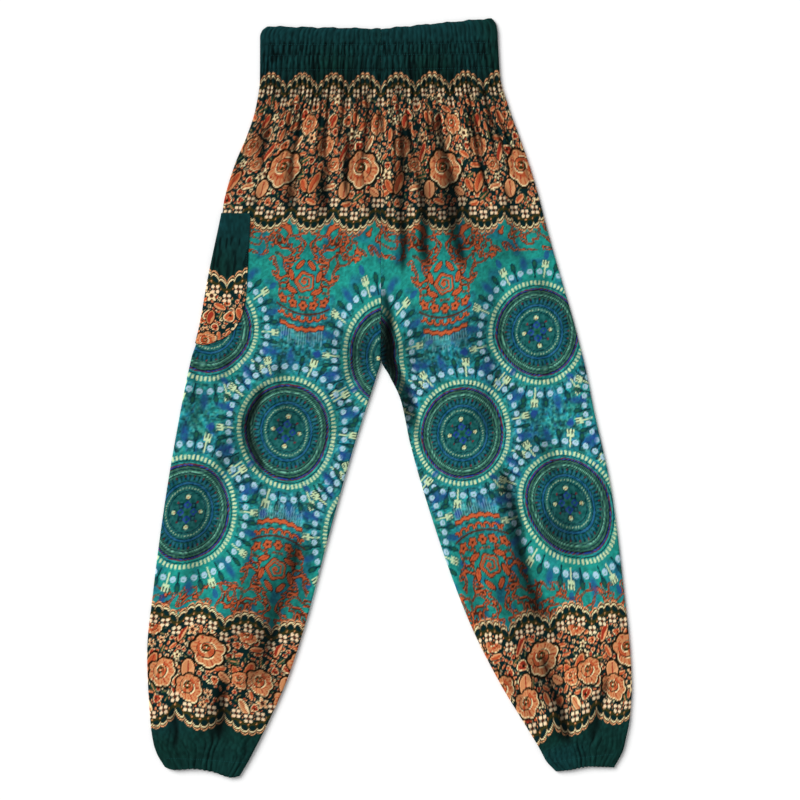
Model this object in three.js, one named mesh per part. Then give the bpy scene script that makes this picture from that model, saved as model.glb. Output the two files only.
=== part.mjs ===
// Harem pants laid flat: two leg pieces with a shirred waist and gathered ankles, and one side pocket.
import * as THREE from 'three';

// Millimetres. X runs across the garment, Y towards the waist and Z up from the surface it lies on.
// v is the cloth length below the waist shirring, measured down the middle of a leg.
// Right and left are the wearer's, so the right leg lies on the -X side.

// Cloth
const wall = 1.2;
const seamGap = 0.3;
const foldRadius = 3;
const reliefLimit = 1;
const reliefFadeAtEdge = 12;
const foldEndFade = 15;
const domeHeight = 0.8;
const seamLip = 0.6;

// Waist
const centreSeamX = -11.2;
const waistTop = -68;
const elasticRows = [-44.2, -30.4, -11.9];
const elasticGroove = 0.7;
const elasticGrooveWidth = 2;
const waistGathers = 22;
const bandOffset = 0.25;
const waistUnevenness = 0.22;
const waistUnevenTurn = 2.4;

// Ankle
const ankleGathers = 14;
const ankleUnevenness = 0.25;
const ankleUnevenTurn = 1.9;
const ankleElastic = 913;
const hemEnd = 930;
const hemRipple = 0.8;

// Crotch: the seam between the legs opens into two inseams here
const seamOpensFrom = 300;
const crotch = 349;

// Pocket
const pocketGap = 0.3;
const pocketWall = 1.2;
const pocketTop = 179;
const pocketBottom = 377;
const pocketLiftBefore = 17;
const pocketLiftFull = 0.52;
const pocketLiftNone = 0.64;

const clothMaterial = new THREE.MeshStandardMaterial({ color: 0x1f7d82, roughness: 0.85 });
clothMaterial.name = 'printed_cloth';

function named(columns, rows) {
  return rows.map((row) => Object.fromEntries(columns.map((name, i) => [name, row[i]])));
}

// Sections of each leg, from the waist to the hem, each from its outer end to its seam end
const sectionColumns = ['v', 'outerX', 'outerY', 'innerX', 'innerY'];
const rightSections = named(sectionColumns, [
  [-68, -161.5, 490.8, -11.2, 487.7],
  [-63, -168.3, 485.3, -11.2, 483.2],
  [-55, -171.0, 477.0, -11.2, 475.6],
  [-43, -171.0, 465.3, -11.2, 465.3],
  [0, -171.2, 421.1, -11.2, 421.1],
  [40, -176.7, 382.8, -11.2, 382.8],
  [75, -188.5, 345.8, -11.2, 345.8],
  [110, -203.1, 311.5, -11.2, 310.2],
  [150, -215.4, 273.2, -11.2, 270.6],
  [205, -227.3, 219.1, -11.2, 213.8],
  [277, -240.0, 158.4, -11.2, 133.3],
  [349, -251.0, 97.0, -11.2, 51.5],
  [372, -255.6, 77.0, -16.5, 30.4],
  [410, -264.7, 39.6, -27.1, -2.6],
  [470, -276.5, -19.8, -45.5, -59.4],
  [591, -296.8, -138.6, -79.4, -179.5],
  [707, -312.2, -256.1, -110.2, -295.7],
  [790, -320.1, -339.2, -135.7, -373.6],
  [869, -315.4, -431.6, -168.7, -446.2],
  [900, -311.5, -457.0, -179.5, -467.0],
  [915, -306.5, -471.2, -185.0, -477.8],
  [930, -297.0, -487.0, -197.5, -499.0],
]);
const leftSections = named(sectionColumns, [
  [-68, 135.0, 501.6, -11.2, 487.7],
  [-63, 140.6, 494.5, -11.2, 483.2],
  [-55, 142.8, 482.0, -11.2, 475.6],
  [-43, 143.4, 468.6, -11.2, 465.3],
  [0, 146.3, 424.4, -11.2, 421.1],
  [40, 156.9, 385.4, -11.2, 382.8],
  [75, 170.1, 348.5, -11.2, 345.8],
  [110, 182.8, 312.8, -11.2, 310.2],
  [150, 194.7, 274.6, -11.2, 270.6],
  [205, 209.2, 219.1, -11.2, 213.8],
  [277, 226.8, 157.1, -11.2, 133.3],
  [349, 244.4, 96.4, -11.2, 51.5],
  [372, 249.7, 75.5, -0.7, 30.4],
  [410, 258.5, 40.9, 14.7, -2.6],
  [470, 269.9, -15.8, 27.1, -59.4],
  [591, 293.7, -126.7, 59.2, -169.0],
  [707, 309.5, -253.4, 105.4, -295.7],
  [790, 318.3, -339.2, 146.3, -377.5],
  [830, 320.1, -380.2, 171.8, -419.8],
  [869, 317.5, -422.4, 196.0, -459.4],
  [900, 312.3, -450.0, 202.0, -470.5],
  [915, 308.9, -464.6, 206.5, -479.0],
  [930, 297.0, -487.7, 219.4, -493.0],
]);

// Height of the front cloth above the surface, inside and outside, before its relief
const heights = named(['v', 'inside', 'outside'], [
  [-68, 2.6, 4.0],
  [-64, 3.0, 4.9],
  [-50, 3.1, 5.1],
  [0, 3.2, 5.2],
  [85, 3.2, 5.2],
  [205, 3.0, 5.0],
  [470, 2.9, 4.9],
  [707, 2.9, 4.9],
  [830, 3.2, 5.2],
  [900, 3.8, 5.8],
  [915, 3.5, 5.5],
  [930, 3.0, 4.9],
]);

// Size of the gathers along a leg, at the waist and at the ankle
const gatherSizes = named(['v', 'waist', 'ankle'], [
  [-68, 0, 0],
  [-50, 0, 0],
  [-44.2, 0.5, 0],
  [-37, 0.95, 0],
  [-30.4, 0.5, 0],
  [-21, 0.95, 0],
  [-11.9, 0.5, 0],
  [-3, 0.95, 0],
  [10, 0.9, 0],
  [52, 0.45, 0],
  [85, 0, 0],
  [862, 0, 0],
  [880, 0, 0.35],
  [900, 0, 0.85],
  [913, 0, 0.45],
  [921, 0, 0.9],
  [930, 0, 0.5],
]);

// Sag of the hem between its outer end, at 0, and its seam end, at 1
const rightHemWave = named(['across', 'rise'], [
  [0, 0],
  [0.1, -2.4],
  [0.43, 2.6],
  [0.65, 1.2],
  [0.88, -3.4],
  [1, 0],
]);
const leftHemWave = named(['across', 'rise'], [
  [0, 0],
  [0.2, 2],
  [0.45, 3.7],
  [0.75, 1],
  [1, 0],
]);

// Soft folds of the front, each a straight run with its height and half width
const foldColumns = ['fromX', 'fromY', 'toX', 'toY', 'height', 'halfWidth'];
const rightFolds = named(foldColumns, [
  [-160, 354, -168, 294, -0.8, 6],
  [-150, 372, -151, 300, 0.6, 6],
  [-118, 380, -133, 242, -1.0, 8],
  [-133, 242, -141, 169, -0.9, 9],
  [-104, 376, -112, 220, 0.8, 8],
  [-89, 393, -84, 255, -0.8, 6],
  [-72, 385, -66, 215, 0.7, 8],
  [-55, 367, -57, 275, -0.7, 6],
  [-31, 400, -28, 314, -0.7, 5],
  [-40, 240, -46, 90, 0.6, 12],
  [-168, 17, -184, -36, -0.9, 8],
  [-184, -36, -168, -98, -0.8, 8],
  [-205, -120, -236, -300, 0.7, 16],
  [-120, -190, -170, -380, -0.6, 11],
  [-282, -210, -290, -370, 0.6, 12],
  [-215, -380, -228, -450, -0.9, 8],
  [-258, -395, -262, -452, 0.8, 9],
  [-288, -410, -280, -460, -0.8, 7],
  [-190, -425, -205, -465, 0.7, 7],
]);
const leftFolds = named(foldColumns, [
  [14, 354, 18, 169, -0.8, 7],
  [3, 330, 4, 190, 0.6, 6],
  [28, 367, 51, 182, -0.9, 8],
  [30, 330, 36, 170, 0.6, 6],
  [67, 374, 97, 180, -1.0, 8],
  [84, 385, 120, 250, 0.8, 8],
  [106, 380, 133, 261, -0.8, 7],
  [126, 400, 162, 301, -0.7, 6],
  [-6, 142, 3, 40, -1.0, 9],
  [3, 40, 16, -60, -0.8, 8],
  [40, 30, 66, -120, 0.6, 14],
  [225, 60, 262, -110, 0.6, 16],
  [150, -90, 196, -290, -0.6, 12],
  [262, -150, 282, -330, 0.7, 14],
  [205, -340, 236, -455, -0.9, 8],
  [240, -360, 256, -450, 0.8, 9],
  [284, -370, 272, -455, -0.8, 8],
  [196, -420, 222, -470, 0.6, 7],
]);

// Widths of the pocket on each side of the side fold
const pocketRows = named(['v', 'front', 'back'], [
  [179, 37, 93],
  [202, 41, 89],
  [225, 44, 86],
  [255, 48, 82],
  [285, 51.5, 78.5],
  [305, 53, 77],
  [325, 51.5, 74.5],
  [342, 47, 67],
  [356, 39, 56],
  [367, 28, 42],
  [374, 17, 27],
  [377, 9, 16],
]);

// Section rows of the mesh
const waistRows = [-68, -65.5, -60, -50, -44.2, -37, -30.4, -21, -11.9, -3, 10, 28, 52, 85];
const bodyRows = [
  85, 110, 135, 162, 179, 202, 225, 255, 285, 305, 325, 342, 358, 377, 394,
  415, 440, 470, 505, 545, 591, 640, 690, 740, 790, 830, 862,
];
const ankleRows = [862, 880, 891, 902, 913, 921, 930];
const insideRows = [
  -68, -60, -30, 20, 85, 162, 179, 225, 285, 342, 377, 394, 440, 505, 591, 690, 790, 862, 900, 930,
];
const bodyColumns = 36;
const insideFrontShares = [0.82, 0.64, 0.52, 0.4, 0.2];
const backShares = [0.2, 0.4, 0.52, 0.64, 0.82];
const columnsPerGather = 4;
const roundSteps = 3;

function smooth(value) {
  const t = Math.min(1, Math.max(0, value));
  return t * t * (3 - 2 * t);
}

// A curve through a table's rows that never overshoots between them
function curveThrough(table, from, to) {
  const xs = table.map((row) => row[from]);
  const ys = table.map((row) => row[to]);
  const rises = xs.slice(1).map((x, i) => (ys[i + 1] - ys[i]) / (x - xs[i]));
  const slopes = xs.map((_, i) => {
    if (i === 0) return rises[0];
    if (i === xs.length - 1) return rises[i - 1];
    const before = rises[i - 1];
    const after = rises[i];
    if (before * after <= 0) return 0;
    return (2 * before * after) / (before + after);
  });
  return (x) => {
    let i = 0;
    while (i < xs.length - 2 && x > xs[i + 1]) i += 1;
    const span = xs[i + 1] - xs[i];
    const t = Math.min(1, Math.max(0, (x - xs[i]) / span));
    const t2 = t * t;
    const t3 = t2 * t;
    return ys[i] * (2 * t3 - 3 * t2 + 1)
      + slopes[i] * span * (t3 - 2 * t2 + t)
      + ys[i + 1] * (3 * t2 - 2 * t3)
      + slopes[i + 1] * span * (t3 - t2);
  };
}

const insideHeight = curveThrough(heights, 'v', 'inside');
const outsideHeight = curveThrough(heights, 'v', 'outside');
const waistGatherSize = curveThrough(gatherSizes, 'v', 'waist');
const ankleGatherSize = curveThrough(gatherSizes, 'v', 'ankle');

function makeLeg(sections, folds, hemWave, hasPocket) {
  return {
    outerX: curveThrough(sections, 'v', 'outerX'),
    outerY: curveThrough(sections, 'v', 'outerY'),
    innerX: curveThrough(sections, 'v', 'innerX'),
    innerY: curveThrough(sections, 'v', 'innerY'),
    hemRise: curveThrough(hemWave, 'across', 'rise'),
    seamSide: Math.sign(sections[0].outerX - centreSeamX),
    folds,
    hasPocket,
  };
}

const rightLeg = makeLeg(rightSections, rightFolds, rightHemWave, true);
const leftLeg = makeLeg(leftSections, leftFolds, leftHemWave, false);

// How far a leg is lifted by the pocket cloth under it: all of it down to a share of the width, then none
function pocketLift(leg, v, share) {
  if (!leg.hasPocket) return 0;
  const into = smooth((v - pocketTop + pocketLiftBefore) / pocketLiftBefore);
  const out = smooth((pocketBottom + pocketLiftBefore - v) / pocketLiftBefore);
  const across = smooth((pocketLiftNone - share) / (pocketLiftNone - pocketLiftFull));
  return (pocketGap + pocketWall) * into * out * across;
}

function foldHeight(leg, x, y) {
  let height = 0;
  for (const fold of leg.folds) {
    const alongX = fold.toX - fold.fromX;
    const alongY = fold.toY - fold.fromY;
    const length = Math.hypot(alongX, alongY);
    const along = ((x - fold.fromX) * alongX + (y - fold.fromY) * alongY) / length;
    const across = ((x - fold.fromX) * alongY - (y - fold.fromY) * alongX) / length;
    const begin = smooth((along + foldEndFade) / (2 * foldEndFade));
    const end = smooth((length + foldEndFade - along) / (2 * foldEndFade));
    height += fold.height * begin * end * Math.exp(-((across / fold.halfWidth) ** 2));
  }
  return height;
}

// Gathers are uneven ripples across the front; each band between two elastic rows has its own offset
function gatherHeight(v, share) {
  const band = elasticRows.filter((row) => v > row).length;
  const waistTurn = share * waistGathers + bandOffset * band;
  const waistVaries = Math.sin(waistUnevenTurn * Math.floor(waistTurn) + band);
  const waistWave = (1 - waistUnevenness + waistUnevenness * waistVaries) * Math.cos(2 * Math.PI * waistTurn);
  const ankleTurn = share * ankleGathers;
  const ankleVaries = Math.sin(ankleUnevenTurn * Math.floor(ankleTurn));
  const ankleWave = (1 - ankleUnevenness + ankleUnevenness * ankleVaries) * Math.cos(2 * Math.PI * ankleTurn);
  return -waistGatherSize(v) * waistWave - ankleGatherSize(v) * ankleWave;
}

function elasticGrooves(v) {
  let depth = 0;
  for (const row of [...elasticRows, ankleElastic]) {
    depth += elasticGroove * Math.exp(-(((v - row) / elasticGrooveWidth) ** 2));
  }
  return depth;
}

// Height of the front outside: the plain height and dome, with folds, gathers and grooves near its limit
function frontRelief(leg, v, share, distance, width, x, y) {
  const fromSeam = v < seamOpensFrom ? reliefFadeAtEdge : width - distance;
  const edgeFade = smooth(distance / reliefFadeAtEdge) * smooth(fromSeam / reliefFadeAtEdge);
  const underPocket = pocketLift(leg, v, share) / (pocketGap + pocketWall);
  const relief = foldHeight(leg, x, y) + gatherHeight(v, share);
  const limited = Math.max(-reliefLimit, Math.min(reliefLimit, relief * edgeFade * (1 - underPocket)));
  return Math.max(-reliefLimit, limited - elasticGrooves(v) * edgeFade);
}

// A point of a leg's cloth. part is 3 at the front seam edge, 0 at the side fold and -3 at the back seam
// edge; from 1 to 2 the cloth lies level. depth is measured from its outside inwards.
function clothPoint(leg, v, part, depth) {
  const outerX = leg.outerX(v);
  const outerY = leg.outerY(v);
  const innerX = leg.innerX(v) + leg.seamSide * seamGap / 2;
  const innerY = leg.innerY(v);
  const fullWidth = Math.hypot(innerX - outerX, innerY - outerY);
  const inset = pocketLift(leg, v, 0);
  const width = fullWidth - inset;
  const step = Math.abs(part);
  const isFront = part >= 0;
  const open = smooth((v - seamOpensFrom) / (crotch - seamOpensFrom));
  const seamDepth = open * depth;
  let distance = foldRadius + (step - 1) * (width - 2 * foldRadius);
  if (step < 1) {
    distance = depth + (foldRadius - depth) * (1 - Math.cos(step * Math.PI / 2));
  }
  if (step > 2) {
    distance = width - seamDepth - (foldRadius - seamDepth) * (1 - Math.cos((3 - step) * Math.PI / 2));
  }
  const fraction = (inset + distance) / fullWidth;
  const x = outerX + (innerX - outerX) * fraction;
  let y = outerY + (innerY - outerY) * fraction;
  const share = Math.min(1, Math.max(0, (distance - foldRadius) / (width - 2 * foldRadius)));
  const lift = pocketLift(leg, v, share);
  const dome = domeHeight * (1 - (2 * share - 1) ** 4);
  let target = lift + depth;
  if (isFront && depth > 0) {
    target = lift + insideHeight(v) + dome;
  }
  if (isFront && depth <= 0) {
    target = lift + outsideHeight(v) + dome + frontRelief(leg, v, share, distance, width, x, y) - depth;
  }
  const edgeLift = pocketLift(leg, v, 0);
  const middle = edgeLift + outsideHeight(v) / 2;
  let z = target;
  if (step < 1) {
    z = middle + (target - middle) * Math.sin(step * Math.PI / 2);
  }
  if (step > 2) {
    const rise = Math.sin((3 - step) * Math.PI / 2);
    const edge = outsideHeight(v) / 2 + (isFront ? seamGap / 2 : -seamGap / 2);
    const joined = target - (isFront ? seamLip * (1 - rise) : 0);
    z = (1 - open) * joined + open * (edge + (target - edge) * rise);
  }
  const hem = smooth((v - ankleElastic) / (hemEnd - ankleElastic));
  y += hem * leg.hemRise(fraction);
  if (isFront && depth === 0) {
    y += hem * hemRipple * Math.cos(2 * Math.PI * share * ankleGathers) * Math.sin(Math.PI * share);
  }
  return [x, y, z];
}

// Triangles between two rows of points, each taken in the order of its keys
function joinRows(triangles, first, second, turned) {
  let i = 0;
  let j = 0;
  const lastFirst = first.length - 1;
  const lastSecond = second.length - 1;
  while (i < lastFirst || j < lastSecond) {
    const nextFirst = i < lastFirst ? first[i + 1].key : Infinity;
    const nextSecond = j < lastSecond ? second[j + 1].key : Infinity;
    const corner = nextFirst <= nextSecond ? first[i + 1] : second[j + 1];
    const triangle = [first[i].index, second[j].index, corner.index];
    triangles.push(turned ? [triangle[0], triangle[2], triangle[1]] : triangle);
    if (nextFirst <= nextSecond) i += 1;
    else j += 1;
  }
}

function edgeOf(rows, end) {
  return rows.map((row) => {
    const point = end === 'first' ? row.points[0] : row.points[row.points.length - 1];
    return { index: point.index, key: row.v };
  });
}

// A closed wall between an outside sheet and an inside sheet, each given as rows of cloth points
function wallGeometry(leg, outsideRows, insideSheetRows, outsideDepth, insideDepth, turned) {
  const positions = [];
  const triangles = [];
  const place = (rows, depth) => rows.map(({ v, parts }) => ({
    v,
    points: parts.map((part) => {
      positions.push(...clothPoint(leg, v, part, depth));
      return { index: positions.length / 3 - 1, key: -part };
    }),
  }));
  const outside = place(outsideRows, outsideDepth);
  const inside = place(insideSheetRows, insideDepth);
  const around = [inside[0], ...outside, inside[inside.length - 1]];
  for (let i = 0; i < around.length - 1; i += 1) {
    joinRows(triangles, around[i].points, around[i + 1].points, turned);
  }
  for (let i = 0; i < inside.length - 1; i += 1) {
    joinRows(triangles, inside[i].points, inside[i + 1].points, !turned);
  }
  joinRows(triangles, edgeOf(inside, 'first'), edgeOf(outside, 'first'), !turned);
  joinRows(triangles, edgeOf(outside, 'last'), edgeOf(inside, 'last'), !turned);
  const geometry = new THREE.BufferGeometry();
  geometry.setAttribute('position', new THREE.Float32BufferAttribute(positions, 3));
  geometry.setIndex(triangles.flat());
  geometry.computeVertexNormals();
  return geometry;
}

function evenShares(count) {
  return Array.from({ length: count - 1 }, (_, i) => 1 - (i + 1) / count);
}

// Column positions of a section, from the front seam edge over the side fold to the back seam edge
function sectionParts(frontShares) {
  const round = Array.from({ length: roundSteps - 1 }, (_, i) => (i + 1) / roundSteps);
  return [
    3,
    2.5,
    2,
    ...frontShares.map((share) => 1 + share),
    1,
    ...round.toReversed(),
    0,
    ...round.map((step) => -step),
    -1,
    ...backShares.map((share) => -1 - share),
    -2,
    -2.5,
    -3,
  ];
}

function rowsAt(lengths, parts) {
  return lengths.map((v) => ({ v, parts }));
}

function legGeometry(leg) {
  const waistParts = sectionParts(evenShares(waistGathers * columnsPerGather));
  const bodyParts = sectionParts(evenShares(bodyColumns));
  const ankleParts = sectionParts(evenShares(ankleGathers * columnsPerGather));
  const outsideRows = [
    ...rowsAt(waistRows, waistParts),
    ...rowsAt(bodyRows.slice(1), bodyParts),
    ...rowsAt(ankleRows.slice(1), ankleParts),
  ];
  const insideSheet = rowsAt(insideRows, sectionParts(insideFrontShares));
  return wallGeometry(leg, outsideRows, insideSheet, 0, wall, leg.seamSide < 0);
}

function pocketGeometry(leg) {
  const rows = pocketRows.map(({ v, front, back }) => {
    const innerX = leg.innerX(v) + leg.seamSide * seamGap / 2;
    const fullWidth = Math.hypot(innerX - leg.outerX(v), leg.innerY(v) - leg.outerY(v));
    const level = fullWidth - pocketLift(leg, v, 0) - 2 * foldRadius;
    const frontShare = (front - foldRadius) / level;
    const backShare = (back - foldRadius) / level;
    const round = Array.from({ length: roundSteps + 1 }, (_, i) => i / roundSteps);
    const spread = [1, 0.75, 0.5, 0.25];
    return {
      v,
      parts: [
        ...spread.map((part) => 1 + part * frontShare),
        ...round.toReversed(),
        ...round.slice(1).map((step) => -step),
        ...spread.toReversed().map((part) => -1 - part * backShare),
      ],
    };
  });
  return wallGeometry(leg, rows, rows, -(pocketGap + pocketWall), -pocketGap, leg.seamSide < 0);
}

function piece(name, geometry) {
  const mesh = new THREE.Mesh(geometry, clothMaterial);
  mesh.name = name;
  return mesh;
}

const group = new THREE.Group();
group.name = 'harem_pants';
group.add(piece('leg_right', legGeometry(rightLeg)));
group.add(piece('leg_left', legGeometry(leftLeg)));
group.add(piece('pocket_right', pocketGeometry(rightLeg)));

export default group;
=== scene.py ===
import bpy
import mathutils
import numpy as np
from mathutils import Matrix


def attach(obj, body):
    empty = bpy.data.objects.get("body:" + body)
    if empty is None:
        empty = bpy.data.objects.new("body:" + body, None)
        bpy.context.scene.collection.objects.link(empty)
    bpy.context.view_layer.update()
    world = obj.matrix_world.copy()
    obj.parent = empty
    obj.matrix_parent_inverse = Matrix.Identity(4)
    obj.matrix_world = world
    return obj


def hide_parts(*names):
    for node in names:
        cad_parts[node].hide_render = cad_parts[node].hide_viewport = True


# Printed harem pants laid flat. Lengths are in millimetres until a mesh is made, with the origin at the middle of
# the outline on the floor, x across, y towards the waist. v is cloth length below the waist shirring, u is cloth
# width from the middle column of the print. Right and left are the wearer's.
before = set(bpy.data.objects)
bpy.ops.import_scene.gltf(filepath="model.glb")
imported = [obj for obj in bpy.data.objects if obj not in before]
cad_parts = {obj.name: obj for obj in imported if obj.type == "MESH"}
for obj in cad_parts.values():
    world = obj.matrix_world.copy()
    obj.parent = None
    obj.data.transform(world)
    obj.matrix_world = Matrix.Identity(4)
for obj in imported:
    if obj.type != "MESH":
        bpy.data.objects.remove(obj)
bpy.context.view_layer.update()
millimetre = 0.001


def smooth(value):
    # 3t squared less 2t cubed, with t held from 0 to 1
    t = np.clip(value, 0, 1)
    return t * t * (3 - 2 * t)


def curve(table, column, at):
    # a cubic through the rows of a table, its slopes the harmonic means of the rises on both sides
    x, y = table[:, 0], table[:, column]
    rise = np.diff(y) / np.diff(x)
    before, after = rise[:-1], rise[1:]
    turns = before * after <= 0
    mean = 2 * before * after / np.where(turns, 1, before + after)
    slope = np.concatenate([rise[:1], np.where(turns, 0, mean), rise[-1:]])
    at = np.asarray(at, float)
    i = np.clip(np.searchsorted(x, at, side="right") - 1, 0, len(x) - 2)
    span = x[i + 1] - x[i]
    t = np.clip((at - x[i]) / span, 0, 1)
    return (y[i] * (1 + 2 * t) * (1 - t) ** 2 + slope[i] * span * t * (1 - t) ** 2
            + y[i + 1] * t * t * (3 - 2 * t) - slope[i + 1] * span * t * t * (1 - t))


# Print

# print colours, except the last, which is painted shade for the puckers at the waist
tint = {name: np.array(value) / 255 for name, value in {
    "darkTeal": (14, 47, 43), "nightBlue": (15, 52, 56), "nightGreen": (8, 34, 26), "bandGround": (10, 38, 38),
    "ink": (30, 24, 14), "olive": (54, 52, 24), "cream": (246, 212, 162), "peach": (220, 156, 108),
    "terracotta": (184, 86, 50), "rust": (156, 52, 34), "tan": (202, 136, 90), "leaf": (40, 76, 50),
    "turquoise": (32, 142, 130), "teal": (32, 122, 122), "blue": (32, 92, 126), "deepBlue": (34, 66, 138),
    "green": (30, 86, 68), "pearl": (160, 196, 214), "lime": (190, 214, 170), "vine": (192, 92, 54),
    "maroon": (80, 44, 30), "wine": (98, 40, 48), "disc": (28, 92, 90), "shade": (14, 50, 58),
    "mint": (104, 170, 148), "moss": (52, 100, 84), "thread": (26, 78, 80), "bead": (246, 208, 168),
    "puckerShade": (4, 17, 17)}.items()}
scallop = 61.0
scallopDepth = 17.0


def cellNoise(i, j, seed):
    # one value from 0 to 1 for every whole-number cell: the fraction of a large sine of its place
    h = np.sin(i * 127.1 + j * 311.7 + seed * 74.7) * 43758.5453
    return h - np.floor(h)


def softNoise(u, v, size, seed):
    # cell values at the four corners, blended with a smooth step
    x, y = u / size, v / size
    i, j = np.floor(x), np.floor(y)
    f, g = smooth(x - i), smooth(y - j)
    low = cellNoise(i, j, seed) * (1 - f) + cellNoise(i + 1, j, seed) * f
    high = cellNoise(i, j + 1, seed) * (1 - f) + cellNoise(i + 1, j + 1, seed) * f
    return low * (1 - g) + high * g


def paint(colour, mask, name):
    colour[mask] = tint[name]


def blend(colour, amount, name):
    # the tint takes over by the amount, from 0 to 1
    colour += (tint[name] - colour) * np.clip(amount, 0, 1)[..., None]


def centred(value, period):
    # distance from the nearest whole number of periods, with its sign
    return (value + period / 2) % period - period / 2


def scallopLine(u):
    # how far the lace edge falls back from its tips: a run of half cosines
    return scallopDepth * (1 - np.abs(np.cos(np.pi * u / scallop)))


def rose(colour, a, b, radius, seed):
    # petals in a spiral: turns of radius less a share of the angle, each with a pale edge and a dark one, on a
    # wavy outline; the heart is set off the middle
    a, b = a / radius, b / radius
    angle = np.arctan2(b, a)
    r = np.hypot(a, b) * (1 + 0.05 * np.sin(3 * angle + seed) + 0.03 * np.sin(5 * angle - 2 * seed))
    edge = 0.84 + 0.14 * np.abs(np.sin(3.5 * angle + seed))
    paint(colour, r < edge + 0.14, "ink")
    paint(colour, r < edge, "tan")
    paint(colour, (r < edge) & (np.sin(angle + 0.5) > -0.1), "cream")
    x, y = a + 0.14 * (1 - r), b + 0.2 * (1 - r)
    heart, turn = np.hypot(x, y), np.arctan2(y, x)
    spiral = heart * 3.1 - turn / (2 * np.pi) + seed * 0.37
    layer = np.floor(spiral)
    f = spiral - layer
    within = r < edge - 0.07
    paint(colour, within, "tan")
    inner = within & (heart < 0.62)
    paint(colour, within & (np.sin(19 * turn + 4 * heart) > 0.75) & (heart > 0.6), "terracotta")
    paint(colour, inner & (cellNoise(layer, np.floor(1.6 * turn + layer), seed) > 0.35), "terracotta")
    paint(colour, within & (np.abs(np.sin(2.5 * turn + 1.7 * layer)) < 0.14), "rust")
    paint(colour, inner & (f < 0.22) & (np.sin(2.5 * turn + 1.7 * layer + 0.6) > -0.5), "cream")
    paint(colour, inner & (f > 0.84), "ink")
    paint(colour, heart < 0.25, "olive")
    paint(colour, (heart < 0.19) & (np.sin(2 * turn + 9 * heart) > 0), "terracotta")
    paint(colour, heart < 0.06, "cream")


def oval(colour, a, b, turn, wide, long, fill, rim):
    # a leaf or bud: an ellipse turned by an angle, with a rim and one darker side
    c, s = np.cos(turn), np.sin(turn)
    x, y = (a * c + b * s) / wide, (b * c - a * s) / long
    q = x * x + y * y
    paint(colour, q < 1.5, "ink")
    paint(colour, q < 1, rim)
    paint(colour, (q < 0.72) & (x + 0.25 * np.sin(4 * y) < 0.35), fill)
    paint(colour, (q < 0.72) & (np.abs(x - 0.05 - 0.2 * y) < 0.1), "rust")


def motifField(colour, u, v, size, turn, seed, sparse):
    # a motif in one of every sparse cells of a turned and jittered grid: a flower, a half-open bloom, a bud or a leaf
    x, y = u * np.cos(turn) + v * np.sin(turn), v * np.cos(turn) - u * np.sin(turn)
    i, j = np.floor(x / size), np.floor(y / size)
    pick = cellNoise(i, j, seed) * sparse
    a = (x / size - i - 0.5) - (cellNoise(i, j, seed + 1) - 0.5) * 0.2
    b = (y / size - j - 0.5) - (cellNoise(i, j, seed + 2) - 0.5) * 0.2
    spin = 2 * np.pi * cellNoise(i, j, seed + 3)
    r, angle = np.hypot(a, b), np.arctan2(b, a)
    petal = 0.43 * (0.74 + 0.26 * np.cos(5 * (angle - spin)))
    isFlower = pick < 0.2
    paint(colour, isFlower & (r < petal + 0.1), "bandGround")
    paint(colour, isFlower & (r < petal), "cream")
    paint(colour, isFlower & (r < petal - 0.07) & (pick < 0.09), "peach")
    paint(colour, isFlower & (r < 0.15), "maroon")
    c, s = np.cos(spin), np.sin(spin)
    wide, long = a * c + b * s, b * c - a * s
    isBloom = (pick >= 0.2) & (pick < 0.5)
    cup = np.hypot(wide / 0.36, long / 0.42) + 0.1 * np.cos(3 * angle + spin)
    fan = np.abs(np.sin(2.2 * np.arctan2(wide, long + 0.5) * 2.2))
    paint(colour, isBloom & (cup < 1.25), "bandGround")
    paint(colour, isBloom & (cup < 1), "cream")
    paint(colour, isBloom & (cup < 0.84), "terracotta")
    paint(colour, isBloom & (cup < 0.7) & (pick < 0.36), "rust")
    paint(colour, isBloom & (cup < 0.84) & (fan < 0.3), "peach")
    paint(colour, isBloom & (np.hypot(wide, long - 0.1) < 0.11), "ink")
    q = (wide / 0.2) ** 2 + (long / 0.45) ** 2
    isBud = (pick >= 0.5) & (pick < 0.86)
    paint(colour, isBud & (q < 1.9), "bandGround")
    paint(colour, isBud & (q < 1), "peach")
    paint(colour, isBud & (q < 0.66) & (wide < 0.06), "terracotta")
    isLeaf = (pick >= 0.86) & (pick < 1)
    paint(colour, isLeaf & (q < 1), "leaf")
    paint(colour, isLeaf & (q < 0.9) & (np.abs(wide) < 0.04), "tan")


def depthOfArcs(u):
    # how far the small arcs of the lace fall back at their joints
    arc = centred(u - scallop / 12, scallop / 6) / (scallop / 12)
    return 6.2 * (1 - np.sqrt(1 - np.clip(arc * arc, 0, 1)))


def lace(colour, u, depth):
    # depth is measured inwards from the scalloped edge: six round arcs on each scallop with two pale edges and a
    # dark eyelet each, an olive net, and four small flowers of four petals with a tan dot between them
    d = depth - depthOfArcs(u)
    place = centred(u - scallop / 12, scallop / 6)
    eyelet = np.hypot(place, depth - 11.0)
    paint(colour, (d > 0) & (depth < 30), "bandGround")
    paint(colour, (d > 0) & (depth < 19), "olive")
    paint(colour, (d > 0) & (d < 7.4), "ink")
    paint(colour, (d > 0) & (d < 1.9), "peach")
    paint(colour, (d > 4.0) & (d < 6.2), "cream")
    paint(colour, (d > 6.8) & (eyelet < 3.9), "bandGround")
    paint(colour, np.hypot(centred(u, scallop / 6), depth - 16.0) < 1.2, "tan")
    a = centred(u, scallop / 4)
    b = depth + scallopLine(u) - scallopLine(u - a) - 24
    paint(colour, np.hypot(np.abs(a) - 3.0, np.abs(b) - 3.1) < 2.35, "bead")
    paint(colour, np.hypot(a, b) < 2.4, "maroon")
    paint(colour, np.hypot(np.abs(a) - scallop / 8, b) < 1.2, "tan")


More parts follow.
